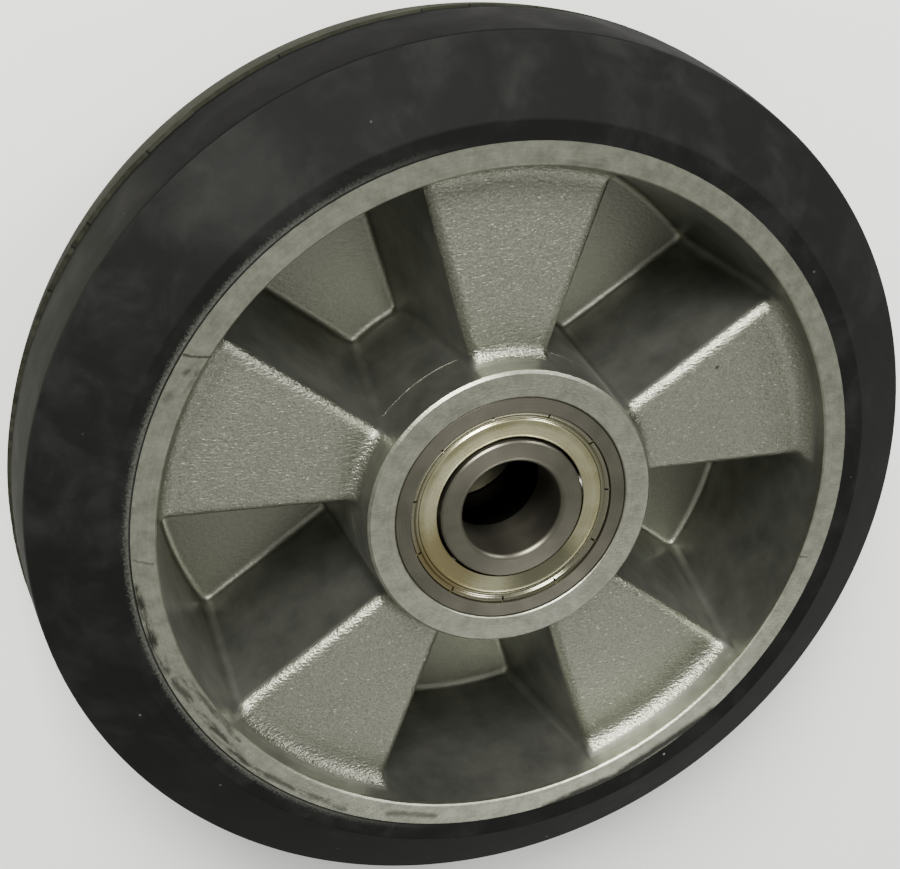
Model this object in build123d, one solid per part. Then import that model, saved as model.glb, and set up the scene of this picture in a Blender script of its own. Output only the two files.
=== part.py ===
# Rubber trolley wheel: a solid rubber tyre on a die-cast aluminium centre,
# running on two shielded deep-groove ball bearings.
# Millimetres. The wheel lies on its side: its axis is Z, +Z is the front face,
# the origin is on the axis at mid-width, and a front panel is centred on +Y.

from build123d import *
import math
import os

# Wheel
tyre_diameter = 184.6
wheel_width = 50.0
panel_count = 5

# Tyre section: the tread is crowned, highest at the mould's parting line
rubber_thickness = 20.1
crown_height = 2.3
crown_bulge = 0.35
side_flat_width = 3.8
tread_width = 32.0
tread_edge_radius = 0.5

# Rim of the cast centre
rim_face_width = 4.6
rim_floor_thickness = 7.7
rim_fillet = 4.0
rim_chamfer = 0.3

# Boss of the cast centre, around the bearings
boss_face_width = 5.3
boss_floor_thickness = 8.2
boss_fillet = 3.0
boss_chamfer = 0.5

# Folded web: panels near one face, pockets that reach nearly to the other
panel_recess = 6.5
web_thickness = 5.0
panel_width_at_boss = 14.6
panel_side_angle = 17.5
pocket_wall_draft = 11.0
pocket_corner_radius = 2.0
pocket_floor_radius = 1.5
panel_edge_radius = 2.6
pocket_side_step = 0.05

# Bearings: with these sizes they are metric 20 x 47 x 14
axle_bore = 20.0
ball_count = 8
ball_diameter = 7.938
race_wall = 2.781
ball_side_room = 3.031
land_gap = 4.7
ball_clearance = 0.05
race_opening = 0.181
outer_corner_radius = 0.4
bore_corner_radius = 1.0
land_chamfer = 0.3

# Seats of the bearings in the boss
bearing_recess = 0.3
shoulder_height = 3.0
seat_lead_in = 0.2
seat_clearance = 0.01

# Cage: two pressed ribbons riveted together between the balls
cage_thickness = 0.8
cage_land_gap = 0.95
cage_ball_clearance = 0.15
rivet_diameter = 1.4
rivet_head_diameter = 2.3
rivet_head_height = 0.45
rivet_clearance = 0.02

# Shields crimped into the outer ring
shield_thickness = 0.35
shield_seat_wall = 3.0
shield_seat_depth = 1.6
shield_seat_clearance = 0.02
shield_bead_setback = 0.4
shield_bead_width = 1.0
shield_groove_depth = 0.65
shield_groove_width = 0.3
shield_slope_run = 0.4
shield_web_setback = 0.7
shield_inner_gap = 0.6
crimp_slit_count = 11
crimp_slit_width = 0.35
first_slit_angle = 104.0

# Working allowances of the cuts
cut_overrun = 1.0
level_tolerance = 0.01

# Bearing sizes that follow from the balls and the walls around them
ball_radius = ball_diameter / 2
ball_pitch = 360.0 / ball_count
ball_circle_diameter = axle_bore + 2 * race_wall + ball_diameter
ball_circle_radius = ball_circle_diameter / 2
bearing_outer_diameter = ball_circle_diameter + ball_diameter + 2 * race_wall
bearing_width = ball_diameter + 2 * ball_side_room
bearing_half_width = bearing_width / 2
race_radius = ball_radius + race_opening
inner_land_diameter = ball_circle_diameter - land_gap
outer_land_diameter = ball_circle_diameter + land_gap
shield_seat_diameter = bearing_outer_diameter - 2 * shield_seat_wall
shield_seat_level = bearing_half_width - shield_seat_depth
cage_width = land_gap - 2 * cage_land_gap
cage_cup_radius = ball_radius + cage_ball_clearance

# Sizes of the casting that follow: rim from the tyre, boss from the bearings
half_width = wheel_width / 2
rim_bond_diameter = tyre_diameter - 2 * rubber_thickness
side_flat_diameter = rim_bond_diameter + 2 * side_flat_width
rim_mouth_diameter = rim_bond_diameter - 2 * rim_face_width
rim_floor_diameter = rim_bond_diameter - 2 * rim_floor_thickness
boss_diameter = bearing_outer_diameter + 2 * boss_face_width
boss_floor_diameter = bearing_outer_diameter + 2 * boss_floor_thickness
bearing_shoulder_diameter = bearing_outer_diameter - 2 * shoulder_height
bearing_centre = half_width - bearing_recess - bearing_half_width
panel_level = half_width - panel_recess
pocket_floor_level = web_thickness - panel_level
panel_pitch = 360.0 / panel_count


def ring_of(points):
    """Turn a closed outline of (radius, height) points about the Z axis."""
    outline = Polyline(*[(r, 0, z) for r, z in points], close=True)
    return revolve(make_face(outline), Axis.Z)


def circles_at(solid, radius, height):
    """The round edges of a turned solid at one radius and one height."""
    return [
        edge for edge in solid.edges()
        if edge.geom_type == GeomType.CIRCLE
        and abs(edge.radius - radius) < level_tolerance
        and abs(edge.center().Z - height) < level_tolerance
    ]


def rim_radius(z):
    """Inner radius of the rim at a height, drafted from mouth to pocket floor."""
    share = (half_width - z) / (half_width - pocket_floor_level)
    return (rim_mouth_diameter + (rim_floor_diameter - rim_mouth_diameter) * share) / 2


def boss_radius(z):
    """Outer radius of the boss at a height, drafted from face to pocket floor."""
    share = (half_width - z) / (half_width - pocket_floor_level)
    return (boss_diameter + (boss_floor_diameter - boss_diameter) * share) / 2


def drafted_ring(bottom, top, step):
    """The space between boss and rim, made wider on both sides by a step."""
    return ring_of([
        (boss_radius(bottom) - step, bottom),
        (rim_radius(bottom) + step, bottom),
        (rim_radius(top) + step, top),
        (boss_radius(top) - step, top),
    ])


def recess_cutter(top):
    """The shallow ring-shaped recess in front of the panels."""
    cutter = drafted_ring(panel_level, top, 0)
    rim_corner = circles_at(cutter, rim_radius(panel_level), panel_level)
    cutter = fillet(rim_corner, rim_fillet)
    boss_corner = circles_at(cutter, boss_radius(panel_level), panel_level)
    return fillet(boss_corner, boss_fillet)


def wall_side(side):
    """Everything on the pocket's side of one drafted pocket wall."""
    reach = tyre_diameter
    wall_angle = math.radians(panel_pitch / 2 - panel_side_angle)
    panel_angle = math.radians(panel_side_angle)
    draft = math.radians(pocket_wall_draft)
    across = math.sin(wall_angle)
    along = math.cos(wall_angle)
    offset = panel_width_at_boss / 2 * math.cos(panel_angle)
    offset -= boss_diameter / 2 * math.sin(panel_angle)
    wall = Plane(
        origin=(offset * across, -side * offset * along, panel_level),
        x_dir=(along, side * across, 0),
        z_dir=(across * math.cos(draft), -side * along * math.cos(draft), math.sin(draft)),
    )
    return extrude(wall * Rectangle(2 * reach, 2 * reach), reach)


def pocket_cutter(top):
    """One deep pocket on +X: drafted all round, with cast corners and floor."""
    space = drafted_ring(pocket_floor_level, top, pocket_side_step)
    cutter = (space & wall_side(1) & wall_side(-1)).solids().sort_by(Axis.X)[-1]
    depth = top - pocket_floor_level
    corners = [e for e in cutter.edges() if e.bounding_box().size.Z > depth / 2]
    cutter = fillet(corners, pocket_corner_radius)
    floor_edges = cutter.edges().group_by(Axis.Z)[0]
    return fillet(floor_edges, pocket_floor_radius)


def edge_turning(radius, chamfer, outward):
    """A turned cut at 45 degrees that breaks a sharp edge of the front face."""
    depth = chamfer + cut_overrun
    return ring_of([
        (radius - outward * chamfer, half_width),
        (radius + outward * cut_overrun, half_width - depth),
        (radius + outward * cut_overrun, half_width + cut_overrun),
        (radius - outward * chamfer, half_width + cut_overrun),
    ])


def one_side_cut(blank):
    """Cut the recess and the pockets into the front face and round the panels."""
    top = half_width + cut_overrun
    part = blank - recess_cutter(top)
    pocket = pocket_cutter(top)
    for k in range(panel_count):
        angle = 90 + (k + 0.5) * panel_pitch
        part = part - Rot(0, 0, angle) * pocket
    part = part - edge_turning(boss_diameter / 2, boss_chamfer, 1)
    part = part - edge_turning(rim_mouth_diameter / 2, rim_chamfer, -1)
    straight = part.edges().filter_by(GeomType.LINE)
    lowest = panel_level - level_tolerance
    highest = panel_level + level_tolerance
    panel_edges = straight.filter_by_position(Axis.Z, lowest, highest)
    return fillet(panel_edges, panel_edge_radius)


def hub_blank():
    """The casting before its pockets: rim, boss and the bore for the bearings."""
    seat = bearing_outer_diameter / 2 + seat_clearance
    seat_end = bearing_centre - bearing_half_width
    shoulder = bearing_shoulder_diameter / 2
    bond = rim_bond_diameter / 2
    half_outline = [
        (shoulder, seat_end),
        (seat, seat_end),
        (seat, half_width - seat_lead_in),
        (seat + seat_lead_in, half_width),
        (bond, half_width),
    ]
    mirrored = [(r, -z) for r, z in reversed(half_outline)]
    return ring_of(half_outline + mirrored)


def hub():
    """The die-cast aluminium centre, its web folded from face to face."""
    turn_over = Rot(0, 0, panel_pitch / 2) * Rot(0, 180, 0)
    part = one_side_cut(hub_blank())
    part = one_side_cut(turn_over * part)
    return turn_over * part


def tyre():
    """The solid rubber tyre, bonded to the rim, its tread crowned at mid-width."""
    bond = rim_bond_diameter / 2
    side_flat = side_flat_diameter / 2
    crown = tyre_diameter / 2
    shoulder = crown - crown_height
    flank = crown - crown_height / 2 + crown_bulge
    edge = tread_width / 2
    outline = [
        Polyline((shoulder, 0, edge), (side_flat, 0, half_width), (bond, 0, half_width)),
        Line((bond, 0, half_width), (bond, 0, -half_width)),
        Polyline((bond, 0, -half_width), (side_flat, 0, -half_width), (shoulder, 0, -edge)),
        ThreePointArc((shoulder, 0, -edge), (flank, 0, -edge / 2), (crown, 0, 0)),
        ThreePointArc((crown, 0, 0), (flank, 0, edge / 2), (shoulder, 0, edge)),
    ]
    ring = revolve(make_face(outline), Axis.Z)
    shoulders = circles_at(ring, shoulder, edge) + circles_at(ring, shoulder, -edge)
    return fillet(shoulders, tread_edge_radius)


def outer_ring():
    """Outer ring of a bearing about its own middle: race, lands, shield seats."""
    outer = bearing_outer_diameter / 2
    seat = shield_seat_diameter / 2
    land = outer_land_diameter / 2
    half_outline = [
        (land, shield_seat_level),
        (seat, shield_seat_level),
        (seat, bearing_half_width),
        (outer, bearing_half_width),
    ]
    mirrored = [(r, -z) for r, z in reversed(half_outline)]
    ring = ring_of(half_outline + mirrored)
    corners = circles_at(ring, outer, bearing_half_width)
    corners += circles_at(ring, outer, -bearing_half_width)
    ring = fillet(corners, outer_corner_radius)
    race_circle = ball_circle_radius + ball_radius + ball_clearance - race_radius
    return ring - Torus(race_circle, race_radius)


def inner_ring():
    """Inner ring of a bearing about its own middle, bored for the axle."""
    bore = axle_bore / 2
    land = inner_land_diameter / 2
    ring = ring_of([
        (bore, -bearing_half_width),
        (bore, bearing_half_width),
        (land, bearing_half_width),
        (land, -bearing_half_width),
    ])
    bore_edges = circles_at(ring, bore, bearing_half_width)
    bore_edges += circles_at(ring, bore, -bearing_half_width)
    ring = fillet(bore_edges, bore_corner_radius)
    land_edges = circles_at(ring, land, bearing_half_width)
    land_edges += circles_at(ring, land, -bearing_half_width)
    ring = chamfer(land_edges, land_chamfer)
    race_circle = ball_circle_radius - ball_radius - ball_clearance + race_radius
    return ring - Torus(race_circle, race_radius)


def ball(number):
    """One ball in its place on the ball circle."""
    place = Rot(0, 0, (number - 1) * ball_pitch) * Pos(ball_circle_radius, 0, 0)
    return place * Sphere(ball_radius)


def rivet_places():
    """Middle of each flat bridge between two balls."""
    return [
        Rot(0, 0, (k + 0.5) * ball_pitch) * Pos(ball_circle_radius, 0, 0)
        for k in range(ball_count)
    ]


def cage_half():
    """The upper pressed ribbon: flat bridges joined by a cup over each ball."""
    inner = ball_circle_radius - cage_width / 2
    outer = ball_circle_radius + cage_width / 2
    cup_outer = cage_cup_radius + cage_thickness
    bridge_band = ring_of([
        (inner, 0), (outer, 0), (outer, cage_thickness), (inner, cage_thickness),
    ])
    cup_band = ring_of([(inner, 0), (outer, 0), (outer, cup_outer), (inner, cup_outer)])
    ribbon = bridge_band
    for number in range(1, ball_count + 1):
        place = Rot(0, 0, (number - 1) * ball_pitch) * Pos(ball_circle_radius, 0, 0)
        ribbon = ribbon + (cup_band & place * Sphere(cup_outer))
    for number in range(1, ball_count + 1):
        place = Rot(0, 0, (number - 1) * ball_pitch) * Pos(ball_circle_radius, 0, 0)
        ribbon = ribbon - place * Sphere(cage_cup_radius)
    hole = Cylinder(rivet_diameter / 2 + rivet_clearance, 4 * cage_thickness)
    for place in rivet_places():
        ribbon = ribbon - place * hole
    return ribbon


def cage_rivets():
    """The rivets that clamp the two ribbons, one on each bridge."""
    shank = Cylinder(rivet_diameter / 2, 2 * cage_thickness)
    head_middle = cage_thickness + rivet_head_height / 2
    head = Cylinder(rivet_head_diameter / 2, rivet_head_height)
    rivet = shank + Pos(0, 0, head_middle) * head + Pos(0, 0, -head_middle) * head
    return Compound(children=[place * rivet for place in rivet_places()])


def shield():
    """The outer pressed shield: a flat web, a groove, and a bead crimped in its seat."""
    bead_top = bearing_half_width - shield_bead_setback
    groove_top = bead_top - shield_groove_depth
    web_top = bearing_half_width - shield_web_setback
    bead_outer = shield_seat_diameter / 2 - shield_seat_clearance
    bead_inner = bead_outer - shield_bead_width
    groove_outer = bead_inner - shield_slope_run
    groove_inner = groove_outer - shield_groove_width
    web_outer = groove_inner - shield_slope_run
    web_inner = inner_land_diameter / 2 + shield_inner_gap
    sheet = shield_thickness
    bend = shield_thickness / 2
    plate = ring_of([
        (bead_outer, shield_seat_level),
        (bead_outer, bead_top),
        (bead_inner, bead_top),
        (groove_outer, groove_top),
        (groove_inner, groove_top),
        (web_outer, web_top),
        (web_inner, web_top),
        (web_inner, web_top - sheet),
        (web_outer - bend, web_top - sheet),
        (groove_inner - bend, groove_top - sheet),
        (groove_outer + bend, groove_top - sheet),
        (bead_inner + bend, bead_top - sheet),
        (bead_outer - sheet, bead_top - sheet),
        (bead_outer - sheet, shield_seat_level),
    ])
    slit = Box(shield_bead_width, crimp_slit_width, 2 * shield_bead_width)
    for k in range(crimp_slit_count):
        angle = first_slit_angle + k * 360 / crimp_slit_count
        place = Rot(0, 0, angle) * Pos(bead_outer, 0, bead_top)
        plate = plate - place * slit
    return plate


def bearing_parts():
    """Every piece of one bearing about its own middle, by name."""
    turned = Rot(180, 0, 0)
    pieces = {
        "outer_ring": outer_ring(),
        "inner_ring": inner_ring(),
        "cage_outer": cage_half(),
        "cage_inner": turned * cage_half(),
        "cage_rivets": cage_rivets(),
        "shield_outer": shield(),
        "shield_inner": turned * shield(),
    }
    for number in range(1, ball_count + 1):
        pieces[f"ball_{number}"] = ball(number)
    return pieces


def trolley_wheel():
    """Every piece of the wheel in its place, by name."""
    parts = {"hub": hub(), "tyre": tyre()}
    front = Pos(0, 0, bearing_centre)
    rear = Rot(0, 180, 0) * front
    for name, piece in bearing_parts().items():
        parts[f"front_{name}"] = front * piece
        parts[f"rear_{name}"] = rear * piece
    return parts


os.makedirs("parts", exist_ok=True)
for name, piece in trolley_wheel().items():
    export_step(piece, f"parts/{name}.step")
    print(f"{name}: {piece.volume / 1000:.2f} cubic centimetres")
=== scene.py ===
# %% [markdown]
# # A rubber trolley wheel, dressed for its picture
# The real wheel is a die-cast aluminium centre with a ring of black rubber moulded round it, and a shielded
# ball bearing pressed into each end of its hub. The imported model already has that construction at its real
# size, so this lesson keeps most of its pieces and only gives them their finishes. Two kinds of piece are
# modelled again here, because what one sees of them is small: the rubber, with its crowned tread and torn
# moulding line, and the pressed steel shields of the bearings.
# The wheel lies on its side, its axis pointing straight up, and everything is in metres.

# %% Load the frame
import math
import random

import bmesh
import bpy
from mathutils import Matrix, Vector, noise


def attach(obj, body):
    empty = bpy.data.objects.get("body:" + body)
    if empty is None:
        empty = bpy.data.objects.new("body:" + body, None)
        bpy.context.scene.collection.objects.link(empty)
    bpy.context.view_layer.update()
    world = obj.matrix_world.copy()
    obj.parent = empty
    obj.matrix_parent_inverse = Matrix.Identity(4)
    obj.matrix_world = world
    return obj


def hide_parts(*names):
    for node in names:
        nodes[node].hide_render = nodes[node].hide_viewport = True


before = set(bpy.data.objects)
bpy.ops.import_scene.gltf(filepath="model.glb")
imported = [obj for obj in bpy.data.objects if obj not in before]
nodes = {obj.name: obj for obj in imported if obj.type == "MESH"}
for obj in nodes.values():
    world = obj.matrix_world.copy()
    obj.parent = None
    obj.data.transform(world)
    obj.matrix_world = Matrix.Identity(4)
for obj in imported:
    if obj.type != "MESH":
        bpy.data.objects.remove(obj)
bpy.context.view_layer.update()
print("nodes in the frame:", len(nodes))

# %% [markdown]
# ## The camera
# The picture was taken from nearly along the axis, about 28 degrees off it, from close by and with the
# camera rolled, so the axis points down to the right. A camera is a place, a point that it looks at and a
# roll about that line. Setting the rotation from those three is simpler than typing angles, because each of
# them can be read off the picture by itself. The small shift stands for the crop of the picture.

# %% Place the camera
camera_place = Vector((-0.091124, 0.128546, 0.263332))
camera_target = Vector((-0.008554, 0.030077, 0.025))
camera_roll = math.radians(139.157)

lens = bpy.data.cameras.new("photo_camera")
lens.lens = 59.08
lens.sensor_width = 36
lens.shift_x = -0.0314
lens.shift_y = -0.0736
lens.clip_start = 0.005
camera = bpy.data.objects.new("photo_camera", lens)
bpy.context.scene.collection.objects.link(camera)
aim = (camera_target - camera_place).normalized().to_track_quat("-Z", "Y")
camera.location = camera_place
camera.rotation_mode = "QUATERNION"
camera.rotation_quaternion = (aim.to_matrix() @ Matrix.Rotation(camera_roll, 3, "Z")).to_quaternion()
bpy.context.scene.camera = camera
print("camera stands", round(camera_place.length, 3), "m from the middle of the wheel")

# %% [markdown]
# ## Helpers
# Sizes are easier to think of in millimetres, and colours in the hex codes of a colour picker. A shader works
# in linear light, so one function turns the code into that. A second one adds a node to a material: its
# settings are given by name, and an input is either a number or the socket of another node, which it links.

# %% Millimetres, colours and nodes
MM = 0.001


def colour(code):
    """Turns a hex colour of the screen, such as 8A8A80, into the linear colour that shaders work in."""
    shares = [int(code[start:start + 2], 16) / 255 for start in (0, 2, 4)]
    linear = [share / 12.92 if share <= 0.04045 else ((share + 0.055) / 1.055) ** 2.4 for share in shares]
    return (*linear, 1.0)


def add(tree, kind, inputs=None, **settings):
    """Adds a node with its settings. Each input is a value, or the socket that is linked to it."""
    made = tree.nodes.new("ShaderNode" + kind)
    for name, value in settings.items():
        setattr(made, name, value)
    for name, value in (inputs or {}).items():
        if isinstance(value, bpy.types.NodeSocket):
            tree.links.new(value, made.inputs[name])
        else:
            made.inputs[name].default_value = value
    return made


def new_material(name):
    """Makes a material that holds only its shader, and gives the material, its node tree and the shader."""
    made = bpy.data.materials.new(name)
    made.use_nodes = True
    return made, made.node_tree, made.node_tree.nodes["Principled BSDF"]


# %% [markdown]
# Modelling by hand is selecting something and pressing a key. In a script the key is an operator, and the
# selecting is done by asking each vertex, edge or face where its middle is. That keeps every step readable:
# "the vertices at this radius" says what the hand would have clicked on.

# %% Selecting by place
def pick(kind, wanted):
    """Selects the vertices, edges or faces of the piece in edit mode whose middle is wanted."""
    bpy.ops.mesh.select_mode(type=kind)
    bpy.ops.mesh.select_all(action="DESELECT")
    mesh = bpy.context.object.data
    shape = bmesh.from_edit_mesh(mesh)
    found = 0
    for part in {"VERT": shape.verts, "EDGE": shape.edges, "FACE": shape.faces}[kind]:
        corners = [part] if kind == "VERT" else part.verts
        middle = sum((corner.co for corner in corners), Vector()) / len(corners)
        if wanted(middle):
            part.select_set(True)
            found += 1
    shape.select_flush_mode()
    bmesh.update_edit_mesh(mesh)
    return found


def start_piece(name):
    """Names the primitive just added, puts its size and place into its mesh, and opens it for editing."""
    piece = bpy.context.object
    piece.name = name
    bpy.ops.object.transform_apply(location=True, rotation=True, scale=True)
    bpy.ops.object.mode_set(mode="EDIT")
    return piece


def near(value, target, room=0.02 * MM):
    """Says whether a length is the target, within a hair."""
    return abs(value - target) < room


# %% [markdown]
# ## The rubber tyre
# The tyre is a thick ring of black rubber, moulded round the rim. Its sides lean in to a flat lip against the
# metal, and its tread bulges a little, so the wheel steers easily. The mould closed near the middle of the
# tread, and the skin of its upper half tore off there in a ragged line.
# A ring could be cut from a cylinder, but its section is what matters, so the section is drawn once as a flat
# shape and spun round the axis. The torn edge comes after, by sliding one ring of points up and down.

# %% The section of the rubber
bond_radius = 72.2 * MM
lip_radius = 76.0 * MM
shoulder_radius = 90.0 * MM
crown_radius = 92.3 * MM
flank_radius = 91.5 * MM
half_width = 25.0 * MM
rubber_half = 24.98 * MM
half_tread = 16.0 * MM
half_flank = 8.0 * MM

bpy.ops.object.select_all(action="DESELECT")
bpy.ops.mesh.primitive_plane_add(size=1, location=((bond_radius + shoulder_radius) / 2, 0, 0),
                                 rotation=(math.pi / 2, 0, 0))
bpy.ops.transform.resize(value=(shoulder_radius - bond_radius, 1, 2 * rubber_half))
tyre = start_piece("rubber_tyre")

pick("EDGE", lambda middle: near(abs(middle.z), rubber_half))
bpy.ops.mesh.subdivide(number_cuts=1)
pick("VERT", lambda middle: bond_radius + MM < middle.x < shoulder_radius - MM)
bpy.ops.transform.translate(value=(lip_radius - (bond_radius + shoulder_radius) / 2, 0, 0))
pick("VERT", lambda middle: near(middle.x, shoulder_radius))
bpy.ops.transform.resize(value=(1, 1, half_tread / rubber_half))
print("section has", len(bmesh.from_edit_mesh(tyre.data).verts), "corners")

# %% [markdown]
# The tread's edge is cut into short pieces, which then move out onto the crown. The crown is steeper near its
# shoulders than in the middle, so two arcs share it. Then the corners are rounded: the shoulder is crisp, the
# lip a little softer.

# %% Crown the tread and round the corners
tread_cuts = 31
parting_height = -1.0 * MM
groove_depth = 0.6 * MM
groove_width = 0.3 * MM
shoulder_rounding = 0.45 * MM
lip_rounding = 0.3 * MM


def arc_through(first, middle, last):
    """Gives the centre height, centre radius and radius of the arc through three points (z, r)."""
    (low, low_out), (mid, mid_out), (high, high_out) = first, middle, last
    low_square = low * low + low_out * low_out
    mid_square = mid * mid + mid_out * mid_out
    high_square = high * high + high_out * high_out
    turn = 2 * (low * (mid_out - high_out) + mid * (high_out - low_out) + high * (low_out - mid_out))
    height = (low_square * (mid_out - high_out) + mid_square * (high_out - low_out)
              + high_square * (low_out - mid_out)) / turn
    out = (low_square * (high - mid) + mid_square * (low - high) + high_square * (mid - low)) / turn
    return height, out, math.hypot(low - height, low_out - out)


def crown(height):
    """Gives the radius of the tread at a height."""
    shoulder = (half_tread, shoulder_radius)
    centre, out, radius = arc_through((0, crown_radius), (half_flank, flank_radius), shoulder)
    return out + math.sqrt(radius ** 2 - (abs(height) - centre) ** 2)


pick("EDGE", lambda middle: near(middle.x, shoulder_radius))
bpy.ops.mesh.subdivide(number_cuts=tread_cuts)
pick("VERT", lambda middle: near(middle.x, shoulder_radius) and near(middle.z, parting_height + MM, 0.1 * MM))
bpy.ops.transform.translate(value=(0, 0, groove_width / 2 - MM))
pick("VERT", lambda middle: near(middle.x, shoulder_radius) and near(middle.z, parting_height - MM, 0.1 * MM))
bpy.ops.transform.translate(value=(0, 0, MM - groove_width / 2))
section = bmesh.from_edit_mesh(tyre.data)
for corner in section.verts:
    if near(corner.co.x, shoulder_radius) and abs(corner.co.z) < half_tread - 0.1 * MM:
        corner.co.x = crown(corner.co.z)
bmesh.update_edit_mesh(tyre.data)
pick("VERT", lambda middle: near(middle.z, parting_height) and middle.x > shoulder_radius)
bpy.ops.transform.translate(value=(-groove_depth, 0, 0))
pick("VERT", lambda middle: near(middle.x, shoulder_radius) and near(abs(middle.z), half_tread))
bpy.ops.mesh.bevel(offset=shoulder_rounding, segments=4, affect="VERTICES")
pick("VERT", lambda middle: near(middle.x, lip_radius))
bpy.ops.mesh.bevel(offset=lip_rounding, segments=3, affect="VERTICES")

# %% [markdown]
# The cuts left edges across the section's face, so its faces are first dissolved into one, and that one goes
# while its outline stays. A Screw modifier with no rise turns the outline once round the axis and merges the
# last copy with the first. It is quicker than the Spin tool for so many steps, and as exact.

# %% Turn the section round the axis
turns = 1440
same_place = 0.001 * MM

bpy.ops.mesh.select_mode(type="FACE")
bpy.ops.mesh.select_all(action="SELECT")
bpy.ops.mesh.dissolve_faces()
bpy.ops.mesh.select_all(action="SELECT")
bpy.ops.mesh.delete(type="ONLY_FACE")
bpy.ops.object.mode_set(mode="OBJECT")
print("outline of the section has", len(tyre.data.vertices), "points")
bpy.ops.object.modifier_add(type="SCREW")
lathe = tyre.modifiers["Screw"]
lathe.axis = "Z"
lathe.angle = math.tau
lathe.steps = lathe.render_steps = turns
lathe.use_merge_vertices = True
lathe.merge_threshold = same_place
bpy.ops.object.modifier_apply(modifier=lathe.name)
bpy.ops.object.mode_set(mode="EDIT")
bpy.ops.mesh.select_all(action="SELECT")
bpy.ops.mesh.remove_doubles(threshold=same_place)
bpy.ops.mesh.normals_make_consistent(inside=False)
bpy.ops.object.mode_set(mode="OBJECT")
print("tyre has", len(tyre.data.vertices), "points and", len(tyre.data.polygons), "faces")

# %% [markdown]
# The two halves of the mould didn't meet quite true: the far half of the tread sits a little towards one
# side, so there it stands proud of the near half, and on the other side it stands back. And the near half's
# edge tore when the wheel left the mould. The rubber let go little by little and jumped back, so the edge has
# teeth, each a ramp that ends in a jump. A seeded list of teeth gives the same edge every time.
# Points of the tread slide along it, most at the parting line and not at all 7 mm away.

# %% Shift the halves and tear the edge
mismatch = 0.42 * MM
mismatch_angle = math.radians(150)
tear_reach = 7.0 * MM
tread_skin = 0.3 * MM
tooth_random = random.Random(11)
teeth = []
tooth_angle = 0.0
while tooth_angle < 360:
    teeth.append((tooth_angle, tooth_random.uniform(-0.3, 0.6), tooth_random.uniform(-0.6, 0.1)))
    tooth_angle += tooth_random.uniform(2.5, 14.0)


def torn(turn):
    """Gives how far the torn edge is off the parting line, in metres, at an angle round the tread."""
    angle = math.degrees(turn) % 360
    last = [tooth for tooth in teeth if tooth[0] <= angle][-1]
    after = [tooth[0] for tooth in teeth if tooth[0] > angle] + [360.0]
    along = (angle - last[0]) / (after[0] - last[0])
    wander = 1.6 * noise.noise(Vector((1.6 * math.cos(turn), 1.6 * math.sin(turn), 4.0)))
    fray = 0.35 * noise.noise(Vector((70 * math.cos(turn), 70 * math.sin(turn), 8.0)))
    return (last[1] + (last[2] - last[1]) * along + wander + fray) * MM


moved = 0
for point in tyre.data.vertices:
    out = point.co.xy.length
    if out > shoulder_radius - tread_skin and abs(point.co.z) < half_tread:
        turn = math.atan2(point.co.y, point.co.x)
        below = crown(point.co.z) - out
        side = 1 if point.co.z > parting_height - 0.1 * MM else -1
        slide = max(0.0, 1 - abs(point.co.z - parting_height) / tear_reach)
        point.co.z += slide * torn(turn)
        fade = 1 - (point.co.z / half_tread) ** 2
        recess = mismatch * fade * (1 + side * math.cos(turn - mismatch_angle))
        point.co.xy *= (crown(point.co.z) - below - recess) / out
        moved += 1
print("moved", moved, "points of the tread; the edge has", len(teeth), "teeth")

# %% [markdown]
# ## Black rubber
# The real stuff is natural rubber filled with carbon black, moulded in a steel mould. To the eye it is a very
# dark grey with a broad, weak shine. A shiny plastic look is the usual mistake, so the roughness is high and
# the specular level low. On that lie a fine grain from the mould, cloudy patches of dust and release wax, one
# soft paler patch on the side that is a painted sheen, and a few pale specks. Next to the rim, where the
# casting was turned, the tool scuffed the rubber into grey fibres. The tread is painted much darker than the
# sides, as painted shade. Beyond the torn edge the tread is paler and olive, partly dust and partly a painted
# sheen of the grazing light, so that half gets its own mix.

# %% Make the rubber
grain_size = 0.45 * MM
cloud_size = 11.0 * MM
speck_spacing = 4.5 * MM
fibre_size = 0.5 * MM
fray_width = 3.2 * MM
wave_size = 5 * MM
relief_depth = 0.05 * MM
# painted sheen: a soft paler patch round this place on the tyre's side
painted_sheen_place = Vector((-52, 65, 19)) * MM
painted_sheen_core = 3 * MM
painted_sheen_reach = 16 * MM
scuff_from = -12 * MM
scuff_full = -50 * MM
floor_dust_from = -60 * MM
floor_dust_full = -92 * MM
speck_grey = "6E7068"
scuff_grey = "5C5E56"
floor_dust_olive = "20211B"


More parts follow.
